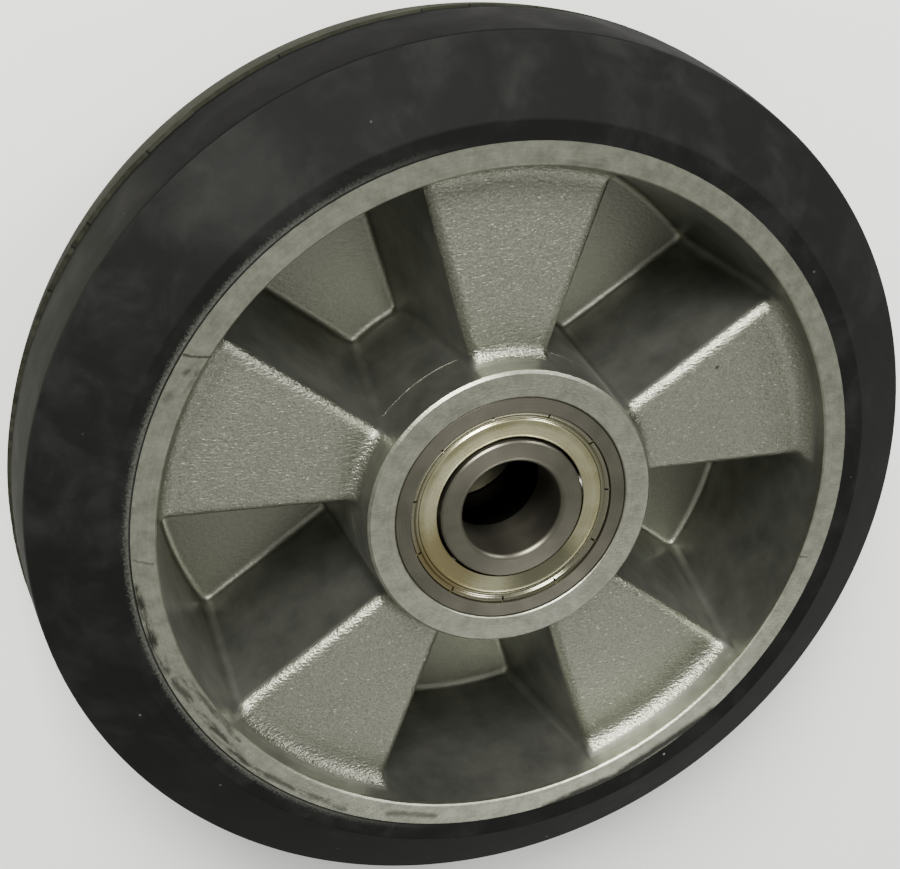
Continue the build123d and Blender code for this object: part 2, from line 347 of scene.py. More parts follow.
def rubber(name, dark, pale, roughness, specular, tread_painted_shade):
    """Makes moulded rubber, clean to dusty, with a painted sheen patch and tread_painted_shade as painted
    shade on the tread.
    """
    made, tree, shader = new_material(name)
    shader.inputs["IOR"].default_value = 1.52
    shader.inputs["Specular IOR Level"].default_value = specular
    place = add(tree, "TexCoord").outputs["Object"]
    clouds = add(tree, "TexNoise", {"Vector": place, "Scale": 1 / cloud_size, "Detail": 6.0,
                                    "Roughness": 0.62, "Distortion": 0.4})
    dust = add(tree, "MapRange", {"Value": clouds.outputs["Fac"], "From Min": 0.4, "From Max": 0.75},
               interpolation_type="SMOOTHSTEP")
    cells = add(tree, "TexVoronoi", {"Vector": place, "Scale": 1 / speck_spacing})
    speck = add(tree, "MapRange", {"Value": cells.outputs["Distance"], "From Min": 0.035, "From Max": 0.075,
                                   "To Min": 1.0, "To Max": 0.0})
    rare = add(tree, "MapRange", {"Value": cells.outputs["Color"], "From Min": 0.74, "From Max": 0.8})
    fleck = add(tree, "Math", {0: speck.outputs["Result"], 1: rare.outputs["Result"]}, operation="MULTIPLY")
    # the painted sheen patch is added to the clouds of dust
    sheen_distance = add(tree, "VectorMath", {0: place, 1: painted_sheen_place}, operation="DISTANCE")
    patch = add(tree, "MapRange", {"Value": sheen_distance.outputs["Value"], "From Min": painted_sheen_core,
                                   "From Max": painted_sheen_reach, "To Min": 0.5, "To Max": 0.0},
                interpolation_type="SMOOTHSTEP")
    dust_and_sheen = add(tree, "Math", {0: dust.outputs["Result"], 1: 0.6, 2: patch.outputs["Result"]},
                 operation="MULTIPLY_ADD", use_clamp=True)
    body = add(tree, "MixRGB", {"Fac": dust_and_sheen.outputs["Value"], "Color1": colour(dark),
                                "Color2": colour(pale)})
    tone = add(tree, "MixRGB", {"Fac": fleck.outputs["Value"], "Color1": body.outputs["Color"],
                                "Color2": colour(speck_grey)})
    flat = add(tree, "VectorMath", {0: place, 1: (1, 1, 0)}, operation="MULTIPLY")
    radius = add(tree, "VectorMath", {0: flat.outputs["Vector"]}, operation="LENGTH")
    parts = add(tree, "SeparateXYZ", {"Vector": place})
    threads = add(tree, "TexNoise", {"Vector": place, "Scale": 1 / fibre_size, "Detail": 4.0,
                                     "Roughness": 0.7})
    frayed = add(tree, "Math", {0: threads.outputs["Fac"], 1: fray_width, 2: radius.outputs["Value"]},
                 operation="MULTIPLY_ADD")
    scuff = add(tree, "MapRange", {"Value": frayed.outputs["Value"],
                                   "From Min": bond_radius + 0.35 * fray_width,
                                   "From Max": bond_radius + 0.95 * fray_width,
                                   "To Min": 0.85, "To Max": 0.0})
    side = add(tree, "MapRange", {"Value": parts.outputs["X"], "From Min": scuff_from,
                                  "From Max": scuff_full})
    crease = add(tree, "MapRange", {"Value": radius.outputs["Value"], "From Min": bond_radius + 0.2 * MM,
                                    "From Max": bond_radius + 0.45 * MM})
    outer = add(tree, "Math", {0: scuff.outputs["Result"], 1: crease.outputs["Result"]}, operation="MULTIPLY")
    scuffed = add(tree, "Math", {0: outer.outputs["Value"], 1: side.outputs["Result"]}, operation="MULTIPLY")
    edge = add(tree, "MixRGB", {"Fac": scuffed.outputs["Value"], "Color1": tone.outputs["Color"],
                                "Color2": colour(scuff_grey)})
    facing = add(tree, "SeparateXYZ", {"Vector": add(tree, "NewGeometry").outputs["Normal"]})
    outward = add(tree, "Math", {0: facing.outputs["Z"]}, operation="ABSOLUTE")
    # painted shade: faces that look sideways, the tread, have their colour multiplied by tread_painted_shade
    on_tread = add(tree, "MapRange", {"Value": outward.outputs["Value"], "From Min": 0.45, "From Max": 0.65,
                                      "To Min": tread_painted_shade, "To Max": 1.0})
    wear_and_painted_shade = add(tree, "MixRGB", {"Fac": 1.0, "Color1": edge.outputs["Color"],
                                "Color2": on_tread.outputs["Result"]}, blend_type="MULTIPLY")
    far_left = add(tree, "MapRange", {"Value": parts.outputs["X"], "From Min": floor_dust_from,
                                      "From Max": floor_dust_full})
    off_face = add(tree, "MapRange", {"Value": outward.outputs["Value"], "From Min": 0.45, "From Max": 0.65,
                                      "To Min": 0.8, "To Max": 0.0})
    floor_dust = add(tree, "Math", {0: far_left.outputs["Result"], 1: off_face.outputs["Result"]},
                     operation="MULTIPLY")
    dusted_off = add(tree, "MixRGB", {"Fac": floor_dust.outputs["Value"], "Color1": wear_and_painted_shade.outputs["Color"],
                                      "Color2": colour(floor_dust_olive)})
    tree.links.new(dusted_off.outputs["Color"], shader.inputs["Base Color"])
    gloss = add(tree, "MapRange", {"Value": clouds.outputs["Fac"], "From Min": 0.3, "From Max": 0.7,
                                   "To Min": roughness - 0.08, "To Max": roughness + 0.08})
    tree.links.new(gloss.outputs["Result"], shader.inputs["Roughness"])
    grain = add(tree, "TexNoise", {"Vector": place, "Scale": 1 / grain_size, "Detail": 2.0})
    waves = add(tree, "TexNoise", {"Vector": place, "Scale": 1 / wave_size, "Detail": 2.0})
    rise = add(tree, "Math", {0: waves.outputs["Fac"], 1: 4.0, 2: grain.outputs["Fac"]},
               operation="MULTIPLY_ADD")
    relief = add(tree, "Bump", {"Height": rise.outputs["Value"], "Strength": 0.35, "Distance": relief_depth})
    tree.links.new(relief.outputs["Normal"], shader.inputs["Normal"])
    return made


moulded_rubber = rubber("moulded_black_rubber", dark="111211", pale="242523", roughness=0.72,
                        specular=0.06, tread_painted_shade=0.1)
# the far half of the tread: partly dust, and partly a paler tone that is a painted sheen of the grazing light
dust_and_sheen_rubber = rubber("dusty_parting_rubber", dark="272821", pale="3B3C34", roughness=0.85,
                      specular=0.03, tread_painted_shade=0.9)
print("made", moulded_rubber.name, "and", dust_and_sheen_rubber.name)

# %% [markdown]
# The paler mix of dust and painted sheen goes on the far half of the tread: the faces whose middle lies
# beyond the torn edge. Weighted normals keep the wide faces flat, so that only the small roundings at the
# shoulder and the lip catch light.

# %% Put the rubber on the tyre
tyre.data.materials.append(moulded_rubber)
tyre.data.materials.append(dust_and_sheen_rubber)

covered = 0
for face in tyre.data.polygons:
    turn = math.atan2(face.center.y, face.center.x)
    on_tread = face.center.xy.length > shoulder_radius - tread_skin
    if on_tread and face.center.z < parting_height + torn(turn):
        face.material_index = 1
        covered += 1
bpy.ops.object.select_all(action="DESELECT")
tyre.select_set(True)
bpy.context.view_layer.objects.active = tyre
bpy.ops.object.shade_smooth_by_angle(angle=math.radians(35))
bpy.ops.object.modifier_add(type="WEIGHTED_NORMAL")
flats = tyre.modifiers["WeightedNormal"]
flats.keep_sharp = True
bpy.ops.object.modifier_apply(modifier=flats.name)
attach(tyre, "wheel")
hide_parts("tyre")
print("dusty rubber on", covered, "faces")

# %% [markdown]
# ## The bearing shields
# Each bearing is closed by a ring of thin steel, pressed to shape: a web that dips a little towards the axle,
# a soft shoulder, a groove, and a bead that is crimped into the outer ring through a row of short slits. A
# sheet like this is easiest to draw as one surface and thicken afterwards. A circle of edges starts at the
# outer wall and is extruded, scaled and moved inward from bend to bend. The circle has 352 edges, 32 for each
# of the 11 slits, so one face of the bead is as wide as a slit, and taking those faces out makes the slits.

# %% Draw the sheet of a shield
slit_count = 11
faces_per_slit = 32
first_slit = 104.0
slit_from_radius = 19.3 * MM
slit_from_height = 23.8 * MM
sheet_thickness = 0.35 * MM
half_face = math.radians(180 / slit_count / faces_per_slit)
shield_section = [
    (20.48, 23.10), (20.48, 24.08), (20.43, 24.19), (20.30, 24.27), (20.10, 24.30), (19.86, 24.29),
    (19.66, 24.22), (19.50, 24.08), (19.36, 23.86), (19.22, 23.70), (19.04, 23.65), (18.86, 23.66),
    (18.74, 23.72), (18.67, 23.82), (18.58, 23.94), (18.44, 24.04), (18.22, 24.10), (17.95, 24.12),
    (17.55, 24.11), (17.05, 24.08), (16.20, 24.01), (15.50, 23.94), (15.12, 23.90), (15.00, 23.83)]

bpy.ops.object.select_all(action="DESELECT")
bpy.ops.mesh.primitive_circle_add(vertices=slit_count * faces_per_slit, radius=shield_section[0][0] * MM,
                                  fill_type="NOTHING", location=(0, 0, shield_section[0][1] * MM),
                                  rotation=(0, 0, math.radians(first_slit) + half_face))
front_shield = start_piece("front_pressed_shield")
bpy.ops.mesh.select_mode(type="EDGE")
bpy.ops.mesh.select_all(action="SELECT")
for (before, low), (radius, height) in zip(shield_section, shield_section[1:]):
    bpy.ops.mesh.extrude_region()
    bpy.ops.transform.resize(value=(radius / before, radius / before, 1))
    bpy.ops.transform.translate(value=(0, 0, (height - low) * MM))
print("sheet has", len(bmesh.from_edit_mesh(front_shield.data).faces), "faces")


def in_slit(middle):
    """Says whether a face of the sheet lies in one of the crimped slits of the bead."""
    angle = (math.degrees(math.atan2(middle.y, middle.x)) - first_slit) % (360 / slit_count)
    off_line = min(angle, 360 / slit_count - angle)
    one_face = 360 / slit_count / faces_per_slit
    return off_line < 0.4 * one_face and middle.xy.length > slit_from_radius and middle.z > slit_from_height


print("faces taken out for the slits:", pick("FACE", in_slit))
bpy.ops.mesh.delete(type="FACE")
bpy.ops.mesh.select_all(action="SELECT")
bpy.ops.mesh.normals_make_consistent(inside=False)
bpy.ops.object.mode_set(mode="OBJECT")

# %% [markdown]
# The sheet gets its thickness from a Solidify modifier, inward from the drawn surface, whose normals must
# point up and out. The far bearing has the same shield turned over, so it is a copy with its own mesh, turned
# half round the X axis in its mesh.

# %% Thicken the shields and turn one over
if front_shield.data.polygons[-1].normal.z < 0:
    front_shield.data.flip_normals()
bpy.ops.object.modifier_add(type="SOLIDIFY")
wall = front_shield.modifiers["Solidify"]
wall.thickness = sheet_thickness
wall.offset = -1
wall.use_even_offset = False
bpy.ops.object.modifier_apply(modifier=wall.name)
bpy.ops.object.shade_smooth_by_angle(angle=math.radians(38))
rear_shield = front_shield.copy()
rear_shield.data = front_shield.data.copy()
rear_shield.name = "rear_pressed_shield"
bpy.context.scene.collection.objects.link(rear_shield)
rear_shield.data.transform(Matrix.Rotation(math.pi, 4, "X"))
for shield, side in ((front_shield, "front"), (rear_shield, "rear")):
    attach(shield, "wheel")
    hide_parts(side + "_shield_outer")
    print(shield.name, "has", len(shield.data.polygons), "faces")

# %% [markdown]
# ## Cast aluminium
# The centre is die-cast from an aluminium alloy. Three surfaces show on it. The rim's and the hub's faces
# were turned on a lathe and are the lightest, with faint rings of tool marks. The near panels were blasted
# with grit, which leaves a sparkling grey grain, and their rounded edges were rubbed smoother. Deep in the
# pockets the skin is as it left the die: a plain, oily grey with soft blotches, which looks darker because
# little light gets there. Inside the hub the metal is one flat grey, set light enough to lift the dark
# hollow:
# painted light.
# Depth below the faces tells them apart, and so does the lean of the surface, because grit hardly marks a
# steep wall. So one material can serve the whole casting from either side.

# %% Make the cast aluminium
grit = 0.38 * MM
dent = 1.0 * MM
blotch = 7.0 * MM
tool_mark = 0.35 * MM
facet_spacing = 1.1 * MM
stain_size = 3.2 * MM
turned_grey = "A3A494"
handled_grey = "86877A"
blasted_dark = "797B6E"
blasted_light = "98998B"
far_panel = "999A90"
glint_grey = "D6D6C8"
# painted light: one flat grey inside the hub, light enough to lift its dark hollow
hub_lift_grey = "9A9A90"
turned_depth = (0.7 * MM, 1.2 * MM)
near_depth = (8.0 * MM, 14.0 * MM)
hub_bore_edge = (24.5 * MM, 25.5 * MM)
cast_roughness = 0.42
glint_roughness = 0.29
turned_roughness = 0.42
skin_relief = 0.16 * MM
skin_dark = "82837D"
skin_light = "A2A39B"

cast, tree, shader = new_material("blasted_die_cast_aluminium")
shader.inputs["Metallic"].default_value = 1.0
place = add(tree, "TexCoord").outputs["Object"]
parts = add(tree, "SeparateXYZ", {"Vector": place})
upward = add(tree, "SeparateXYZ", {"Vector": add(tree, "NewGeometry").outputs["Normal"]})
side = add(tree, "Math", {0: upward.outputs["Z"]}, operation="SIGN")
height = add(tree, "Math", {0: parts.outputs["Z"], 1: side.outputs["Value"]}, operation="MULTIPLY")
depth = add(tree, "Math", {0: half_width, 1: height.outputs["Value"]}, operation="SUBTRACT")
flat = add(tree, "VectorMath", {0: place, 1: (1, 1, 0)}, operation="MULTIPLY")
radius = add(tree, "VectorMath", {0: flat.outputs["Vector"]}, operation="LENGTH")
turned = add(tree, "MapRange", {"Value": depth.outputs["Value"], "From Min": turned_depth[0],
                                "From Max": turned_depth[1], "To Min": 1.0, "To Max": 0.0},
             interpolation_type="SMOOTHSTEP")
near_side = add(tree, "MapRange", {"Value": depth.outputs["Value"], "From Min": near_depth[0],
                                   "From Max": near_depth[1], "To Min": 1.0, "To Max": 0.0},
                interpolation_type="SMOOTHSTEP")
lean = add(tree, "Math", {0: upward.outputs["Z"]}, operation="ABSOLUTE")
level = add(tree, "MapRange", {"Value": lean.outputs["Value"], "From Min": 0.28, "From Max": 0.62},
            interpolation_type="SMOOTHSTEP")
gritted = add(tree, "Math", {0: near_side.outputs["Result"], 1: level.outputs["Result"]},
              operation="MULTIPLY")
in_hub = add(tree, "MapRange", {"Value": radius.outputs["Value"], "From Min": hub_bore_edge[0],
                                "From Max": hub_bore_edge[1], "To Min": 1.0, "To Max": 0.0})
print("turned faces end", turned_depth[1] / MM, "mm down, near panels", near_depth[1] / MM, "mm down")

# %% [markdown]
# The colours come next. Each surface gets two tones and a pattern at its own real size: grit about 0.4 mm
# apart on the panels, blotches of several millimetres in the pockets. The far panels, seen through the
# pockets, show half as much of the grit.

# %% Colour the casting
grains = add(tree, "TexNoise", {"Vector": place, "Scale": 1 / grit, "Detail": 3.0, "Roughness": 0.65})
grain_step = add(tree, "MapRange", {"Value": grains.outputs["Fac"], "From Min": 0.35, "From Max": 0.68})
blasted = add(tree, "MixRGB", {"Fac": grain_step.outputs["Result"], "Color1": colour(blasted_dark),
                               "Color2": colour(blasted_light)})
spread = add(tree, "VectorMath", {0: place, 1: (1.0, 2.4, 1.0)}, operation="MULTIPLY")
facets = add(tree, "TexVoronoi", {"Vector": spread.outputs["Vector"], "Scale": 1 / facet_spacing})
facet = add(tree, "MapRange", {"Value": facets.outputs["Distance"], "From Min": 0.16, "From Max": 0.3,
                               "To Min": 1.0, "To Max": 0.0})
lucky = add(tree, "MapRange", {"Value": facets.outputs["Color"], "From Min": 0.7, "From Max": 0.9})
shining = add(tree, "Math", {0: facet.outputs["Result"], 1: lucky.outputs["Result"]}, operation="MULTIPLY")
glint = add(tree, "Math", {0: shining.outputs["Value"], 1: gritted.outputs["Value"]}, operation="MULTIPLY")
sparkling = add(tree, "MixRGB", {"Fac": glint.outputs["Value"], "Color1": blasted.outputs["Color"],
                                 "Color2": colour(glint_grey)})
blotches = add(tree, "TexNoise", {"Vector": place, "Scale": 1 / blotch, "Detail": 5.0, "Roughness": 0.6})
blotch_step = add(tree, "MapRange", {"Value": blotches.outputs["Fac"], "From Min": 0.3, "From Max": 0.75})
skin = add(tree, "MixRGB", {"Fac": blotch_step.outputs["Result"], "Color1": colour(skin_dark),
                            "Color2": colour(skin_light)})
far_grain = add(tree, "MixRGB", {"Fac": 0.5, "Color1": blasted.outputs["Color"], "Color2": colour(far_panel)})
far_flat = add(tree, "MixRGB", {"Fac": level.outputs["Result"], "Color1": skin.outputs["Color"],
                                "Color2": far_grain.outputs["Color"]})
cast_tone = add(tree, "MixRGB", {"Fac": gritted.outputs["Value"], "Color1": far_flat.outputs["Color"],
                                 "Color2": sparkling.outputs["Color"]})
rings = add(tree, "TexNoise", {"W": radius.outputs["Value"], "Scale": 1 / tool_mark, "Detail": 3.0},
            noise_dimensions="1D")
ring_step = add(tree, "MapRange", {"Value": rings.outputs["Fac"], "From Min": 0.3, "From Max": 0.7,
                                   "To Min": 0.88, "To Max": 1.0})
stains = add(tree, "TexNoise", {"Vector": place, "Scale": 1 / stain_size, "Detail": 8.0, "Roughness": 0.8})
stain_step = add(tree, "MapRange", {"Value": stains.outputs["Fac"], "From Min": 0.36, "From Max": 0.6})
handled = add(tree, "MixRGB", {"Fac": stain_step.outputs["Result"], "Color1": colour(handled_grey),
                               "Color2": colour(turned_grey)})
turned_tone = add(tree, "MixRGB", {"Fac": 1.0, "Color1": handled.outputs["Color"],
                                   "Color2": ring_step.outputs["Result"]}, blend_type="MULTIPLY")
outer_tone = add(tree, "MixRGB", {"Fac": turned.outputs["Result"], "Color1": cast_tone.outputs["Color"],
                                  "Color2": turned_tone.outputs["Color"]})
# painted light inside the hub
inside_hub_lift = add(tree, "Math", {0: in_hub.outputs["Result"], 1: turned.outputs["Result"]},
             operation="GREATER_THAN")
tone = add(tree, "MixRGB", {"Fac": inside_hub_lift.outputs["Value"], "Color1": outer_tone.outputs["Color"],
                            "Color2": colour(hub_lift_grey)})
flat_top = add(tree, "MapRange", {"Value": lean.outputs["Value"], "From Min": 0.9, "From Max": 0.985,
                                  "To Min": 1.0, "To Max": 0.0})
fillet = add(tree, "Math", {0: flat_top.outputs["Result"], 1: gritted.outputs["Value"]}, operation="MULTIPLY")
smooth = add(tree, "Math", {0: fillet.outputs["Value"], 1: glint.outputs["Value"]}, operation="MAXIMUM")
cast_gloss = add(tree, "MapRange", {"Value": smooth.outputs["Value"], "To Min": cast_roughness,
                                    "To Max": glint_roughness})
gloss = add(tree, "MapRange", {"Value": turned.outputs["Result"], "To Min": cast_gloss.outputs["Result"],
                               "To Max": turned_roughness})
tree.links.new(gloss.outputs["Result"], shader.inputs["Roughness"])
dents = add(tree, "TexNoise", {"Vector": spread.outputs["Vector"], "Scale": 1 / dent, "Detail": 2.0})
rough_skin = add(tree, "Math", {0: dents.outputs["Fac"], 1: 1.6, 2: grains.outputs["Fac"]},
                 operation="MULTIPLY_ADD")
calm = add(tree, "MapRange", {"Value": turned.outputs["Result"], "To Min": 1.0, "To Max": 0.25})
far_calm = add(tree, "MapRange", {"Value": near_side.outputs["Result"], "To Min": 0.4, "To Max": 1.0})
both_calm = add(tree, "Math", {0: calm.outputs["Result"], 1: far_calm.outputs["Result"]},
                operation="MULTIPLY")
uneven = add(tree, "Math", {0: level.outputs["Result"], 1: both_calm.outputs["Value"]}, operation="MULTIPLY")
bumpy = add(tree, "Math", {0: rough_skin.outputs["Value"], 1: uneven.outputs["Value"]}, operation="MULTIPLY")
relief = add(tree, "Bump", {"Height": bumpy.outputs["Value"], "Strength": 0.8, "Distance": skin_relief})
tree.links.new(relief.outputs["Normal"], shader.inputs["Normal"])
print("plain tones of the casting run from", blasted_dark, "to", turned_grey)

# %% [markdown]
# The rim carries the wheel's history: fine cracks where the casting cooled, dark rubber rubbed over its outer
# edge, and one pore in a panel. Each is a short line or a spot at its real place, so a small helper measures
# how far a point is from a line between two places, given as radius in millimetres and angle in degrees.
# Each mark has a width and a strength, and the rubbed ones are broken up by a noise that is drawn out along
# the rim, the way the rubber was smeared.

# %% Mark the rim
smear_stretch = 5.0
smear_width = 1.4 * MM
rim_middle = 71 * MM
wobble_size = 2.6 * MM
wobble = 1.5 * MM
rubbed_grey = "3A3A35"


def from_polar(reach, angle, level):
    """Gives the place at a radius and a level in millimetres and an angle in degrees."""
    turn = math.radians(angle)
    return Vector((reach * math.cos(turn), reach * math.sin(turn), level)) * MM


def scratch(tree, place, start, end, width):
    """Gives a mask that is 1 on the line from start to end and fades to 0 over its width."""
    line = end - start
    offset = add(tree, "VectorMath", {0: place, 1: start}, operation="SUBTRACT")
    along = add(tree, "VectorMath", {0: offset.outputs["Vector"], 1: line.normalized()},
                operation="DOT_PRODUCT")
    held = add(tree, "MapRange", {"Value": along.outputs["Value"], "From Max": line.length,
                                  "To Max": line.length})
    foot = add(tree, "VectorMath", {0: line.normalized(), "Scale": held.outputs["Result"]},
               operation="SCALE")
    away = add(tree, "VectorMath", {0: offset.outputs["Vector"], 1: foot.outputs["Vector"]},
               operation="DISTANCE")
    return add(tree, "MapRange", {"Value": away.outputs["Value"], "From Min": 0.3 * width, "From Max": width,
                                  "To Min": 1.0, "To Max": 0.0}).outputs["Result"]


ragged = add(tree, "TexNoise", {"Vector": place, "Scale": 1 / wobble_size, "Detail": 5.0, "Roughness": 0.6})
centred = add(tree, "VectorMath", {0: ragged.outputs["Color"], 1: (0.5, 0.5, 0.5)}, operation="SUBTRACT")
shaken = add(tree, "VectorMath", {0: centred.outputs["Vector"], "Scale": wobble}, operation="SCALE")
moved_place = add(tree, "VectorMath", {0: place, 1: shaken.outputs["Vector"]}, operation="ADD")
rough_place = moved_place.outputs["Vector"]
angle = add(tree, "Math", {0: parts.outputs["Y"], 1: parts.outputs["X"]}, operation="ARCTAN2")
along_ring = add(tree, "Math", {0: angle.outputs["Value"], 1: rim_middle / smear_stretch},
                 operation="MULTIPLY")
ring_place = add(tree, "CombineXYZ", {"X": along_ring.outputs["Value"], "Y": radius.outputs["Value"]})
rubbed = add(tree, "TexNoise", {"Vector": ring_place.outputs["Vector"], "Scale": 1 / smear_width,
                                "Detail": 6.0, "Roughness": 0.7})
patches = add(tree, "MapRange", {"Value": rubbed.outputs["Fac"], "From Min": 0.4, "From Max": 0.54})
patchy = patches.outputs["Result"]
marks = [
    (from_polar(71.9, 149.3, 25), from_polar(66.4, 147.6, 25), 0.35 * MM, 0.8, 1.0),
    (from_polar(69.9, 151.6, 25), from_polar(67.4, 150.6, 25), 1.1 * MM, 0.6, patchy),
    (from_polar(71.2, 156.0, 25), from_polar(68.0, 152.4, 25), 1.3 * MM, 0.35, patchy),
    (from_polar(66.9, 344.0, 25), from_polar(69.2, 344.4, 25), 0.3 * MM, 0.8, 1.0),
    (from_polar(66.8, 100.0, 25), from_polar(69.0, 79.0, 25), 1.4 * MM, 0.3, patchy),
    (from_polar(72.4, 186.0, 25), from_polar(72.0, 201.0, 25), 1.7 * MM, 0.95, patchy),
    (from_polar(71.2, 203.0, 25), from_polar(70.3, 215.0, 25), 1.0 * MM, 0.75, patchy),
    (from_polar(70.6, 214.0, 25), from_polar(72.2, 225.0, 25), 1.2 * MM, 0.85, patchy),
    (from_polar(70.3, 250.5, 25), from_polar(70.2, 259.0, 25), 1.0 * MM, 0.7, 0.9),
    (from_polar(72.6, 279.0, 25), from_polar(72.0, 292.0, 25), 1.4 * MM, 1.0, 1.0),
    (from_polar(72.0, 292.0, 25), from_polar(72.8, 312.0, 25), 1.5 * MM, 1.0, 1.0),
    (from_polar(69.3, 203.0, 25), from_polar(68.7, 219.0, 25), 0.8 * MM, 0.7, patchy),
    (from_polar(71.9, 224.0, 25), from_polar(71.6, 243.0, 25), 1.0 * MM, 0.7, patchy),
    (from_polar(71.6, 181.5, 25), from_polar(68.6, 182.5, 25), 0.35 * MM, 0.5, 1.0),
    (from_polar(50.1, 28.05, 18.5), from_polar(50.2, 28.3, 18.5), 0.5 * MM, 0.9, 1.0),
]
stain = None
for start, end, width, strength, broken in marks:
    line = scratch(tree, rough_place, start, end, width)
    mask = add(tree, "Math", {0: line, 1: strength}, operation="MULTIPLY").outputs["Value"]
    mask = add(tree, "Math", {0: mask, 1: broken}, operation="MULTIPLY").outputs["Value"]
    if stain is None:
        stain = mask
    else:
        stain = add(tree, "Math", {0: stain, 1: mask}, operation="MAXIMUM").outputs["Value"]
marked = add(tree, "MixRGB", {"Fac": stain, "Color1": tone.outputs["Color"], "Color2": colour(rubbed_grey)})
tree.links.new(marked.outputs["Color"], shader.inputs["Base Color"])
print("put", len(marks), "marks on the casting")

# %% [markdown]
# ## Bearing steels
# Rings and balls are hardened chrome steel, ground and honed. The rings have fine grinding lines around their
# axis, so a highlight on them stretches across those lines; the outer ring's outer corner is painted dark, as
# painted shade in the seam against the hub. The shields are pressed from sheet and plated with zinc in a
# yellow passivation, which is straw to olive and changes a little from place to place, and their upright
# walls are dimmed as painted shade. Two soft patches on the plating come last: a golden one, and a dull one
# that is a painted dark reflection. The cages are bare pressed steel, and the inner shields are painted
# nearly black, as painted shade inside the hub.

# %% Make the steels
golden_place = Vector((-13.0, -10.5, 24.0)) * MM
painted_reflection_place = Vector((8.0, -15.0, 24.0)) * MM
patch_core = 4.0 * MM
patch_reach = 11.0 * MM
bead_from = 18.75 * MM
ring_corner = 23.2 * MM
nowhere = 1.0
cloud_of_plating = 6 * MM


def steel(name, dark, light, roughness, streak, stretch, rubbed, wear_and_seam_shade_from, wall_shade):
    """Makes a steel between two tones, with fine lines round the axis that stretch its highlights.
    Beyond the radius wear_and_seam_shade_from the edge takes the tone rubbed: rubbed plating on a shield's
    bead, and painted shade of the seam on the outer ring's corner. wall_shade dims upright walls, as painted
    shade."""
    made, tree, shader = new_material(name)
    shader.inputs["Metallic"].default_value = 1.0
    shader.inputs["Anisotropic"].default_value = stretch
    shader.inputs["Anisotropic Rotation"].default_value = 0.25
    around = add(tree, "Tangent", direction_type="RADIAL", axis="Z")
    tree.links.new(around.outputs["Tangent"], shader.inputs["Tangent"])
    place = add(tree, "TexCoord").outputs["Object"]
    flat = add(tree, "VectorMath", {0: place, 1: (1, 1, 0)}, operation="MULTIPLY")
    radius = add(tree, "VectorMath", {0: flat.outputs["Vector"]}, operation="LENGTH")
    lines = add(tree, "TexNoise", {"W": radius.outputs["Value"], "Scale": 1 / streak, "Detail": 3.0},
                noise_dimensions="1D")
    clouds = add(tree, "TexNoise", {"Vector": place, "Scale": 1 / cloud_of_plating, "Detail": 3.0})
    both = add(tree, "Math", {0: lines.outputs["Fac"], 1: clouds.outputs["Fac"]}, operation="ADD")
    step = add(tree, "MapRange", {"Value": both.outputs["Value"], "From Min": 0.75, "From Max": 1.25})
    tone = add(tree, "MixRGB", {"Fac": step.outputs["Result"], "Color1": colour(dark),
                                "Color2": colour(light)})
    # the edge tone: rubbed plating on the shields, painted shade of the seam on the ground rings
    rim = add(tree, "MapRange", {"Value": radius.outputs["Value"], "From Min": wear_and_seam_shade_from,
                                 "From Max": wear_and_seam_shade_from + 0.25 * MM})
    wear_and_painted_shade = add(tree, "MixRGB", {"Fac": rim.outputs["Result"], "Color1": tone.outputs["Color"],
                                "Color2": colour(rubbed)})
    facing = add(tree, "SeparateXYZ", {"Vector": add(tree, "NewGeometry").outputs["Normal"]})
    upright = add(tree, "Math", {0: facing.outputs["Z"]}, operation="ABSOLUTE")
    # painted shade: upright walls keep only wall_shade of their colour
    painted_wall_shade = add(tree, "MapRange", {"Value": upright.outputs["Value"], "From Min": 0.05, "From Max": 0.5,
                                   "To Min": wall_shade, "To Max": 1.0})
    dim = add(tree, "MixRGB", {"Fac": 1.0, "Color1": wear_and_painted_shade.outputs["Color"],
                               "Color2": painted_wall_shade.outputs["Result"]}, blend_type="MULTIPLY")
    tree.links.new(dim.outputs["Color"], shader.inputs["Base Color"])
    gloss = add(tree, "MapRange", {"Value": step.outputs["Result"], "To Min": roughness + 0.05,
                                   "To Max": roughness - 0.05})
    tree.links.new(gloss.outputs["Result"], shader.inputs["Roughness"])
    relief = add(tree, "Bump", {"Height": lines.outputs["Fac"], "Strength": 0.15, "Distance": 0.01 * MM})
    tree.links.new(relief.outputs["Normal"], shader.inputs["Normal"])
    return made


# here rubbed is painted shade: the outer ring's corner beyond ring_corner is dark like the seam beside it
ground_steel = steel("ground_bearing_steel", dark="605E54", light="797669", roughness=0.4,
                     streak=0.12 * MM, stretch=0.5, rubbed="35342F", wear_and_seam_shade_from=ring_corner, wall_shade=1.0)
ball_steel = steel("polished_ball_steel", dark="B5B2AC", light="C4C1BB", roughness=0.08,
                   streak=0.5 * MM, stretch=0.0, rubbed="B5B2AC", wear_and_seam_shade_from=nowhere, wall_shade=1.0)
pressed_steel = steel("pressed_cage_steel", dark="8C8A84", light="A09D96", roughness=0.3,
                      streak=0.4 * MM, stretch=0.0, rubbed="8C8A84", wear_and_seam_shade_from=nowhere, wall_shade=1.0)
# the shield's upright walls keep 0.6 of their colour, as painted shade
shield_zinc = steel("yellow_passivated_zinc", dark="9C966F", light="CECCA8", roughness=0.24,
                    streak=2.5 * MM, stretch=0.0, rubbed="8B8975", wear_and_seam_shade_from=bead_from, wall_shade=0.6)
